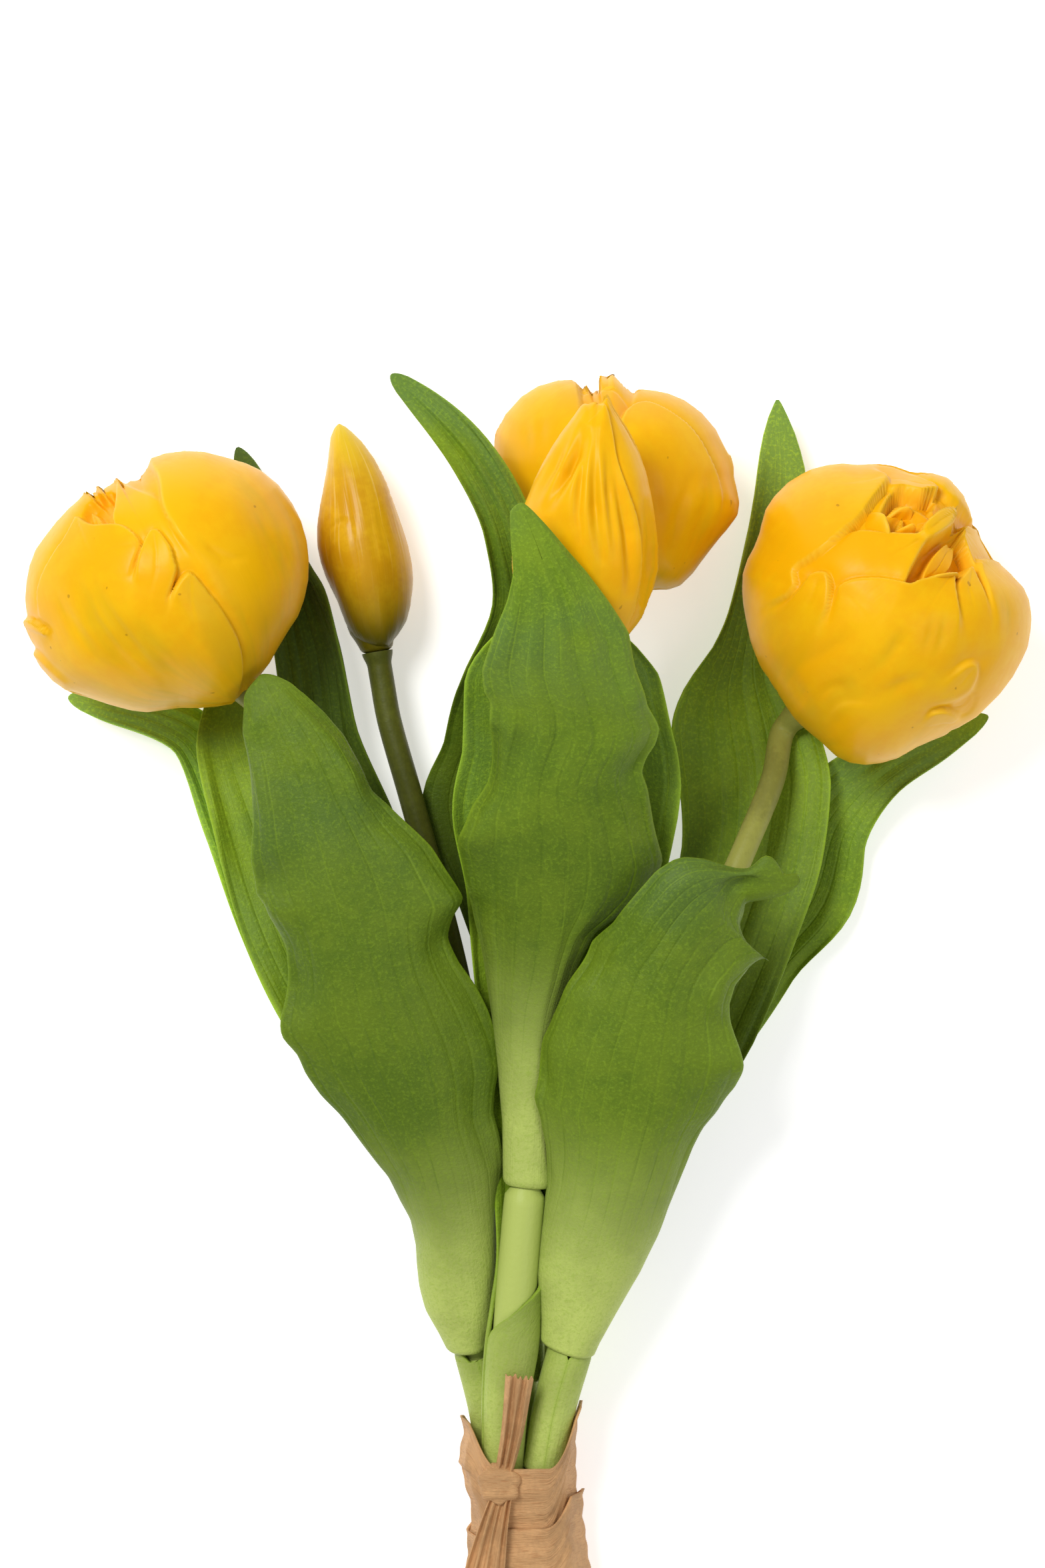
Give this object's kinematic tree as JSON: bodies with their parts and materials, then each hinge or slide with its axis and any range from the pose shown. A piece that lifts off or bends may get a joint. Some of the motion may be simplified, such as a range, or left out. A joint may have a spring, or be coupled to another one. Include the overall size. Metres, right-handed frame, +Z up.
{
  "type": "tied bunch of artificial tulips",
  "caption": "Bunch of moulded double tulips and buds with long waved leaves, lying down, the stems tied together by a knotted paper ribbon.",
  "frame": {"origin": "on the surface the bunch lies on, under the middle of its bounding box", "axes": "+Y along the bunch from the cut stems to the flowers, +Z up from the surface towards the viewer"},
  "size_m": [0.2112, 0.2929, 0.0905],
  "materials": {
    "petal": "satin, soft moulded skin, warm yellow with deeper folds",
    "bud": "satin, orange yellow with raised ridges",
    "green_bud": "satin, yellow tip turning olive green at the base",
    "leaf": "matte, mid green with fine parallel veins, pale at the foot",
    "stem": "matte, light to olive green",
    "ribbon": "matt creased paper, tan"
  },
  "bodies": {
    "root": {"stem_bloom_left": "stem", "stem_bud_closed": "stem", "stem_bud_ridged": "stem", "stem_bloom_back": "stem", "stem_bloom_right": "stem", "bloom_left": "petal", "bloom_back": "petal", "bloom_right": "petal", "bud_ridged": "bud", "bud_closed": "green_bud", "leaf_front_left": "leaf", "leaf_front_centre": "leaf", "leaf_front_right": "leaf", "leaf_under_left": "leaf", "leaf_low_left": "leaf", "leaf_bud_left": "leaf", "leaf_back_left": "leaf", "leaf_back_centre": "leaf", "leaf_back_right": "leaf", "leaf_far_right": "leaf", "tie": "ribbon"}
  },
  "joints": []
}
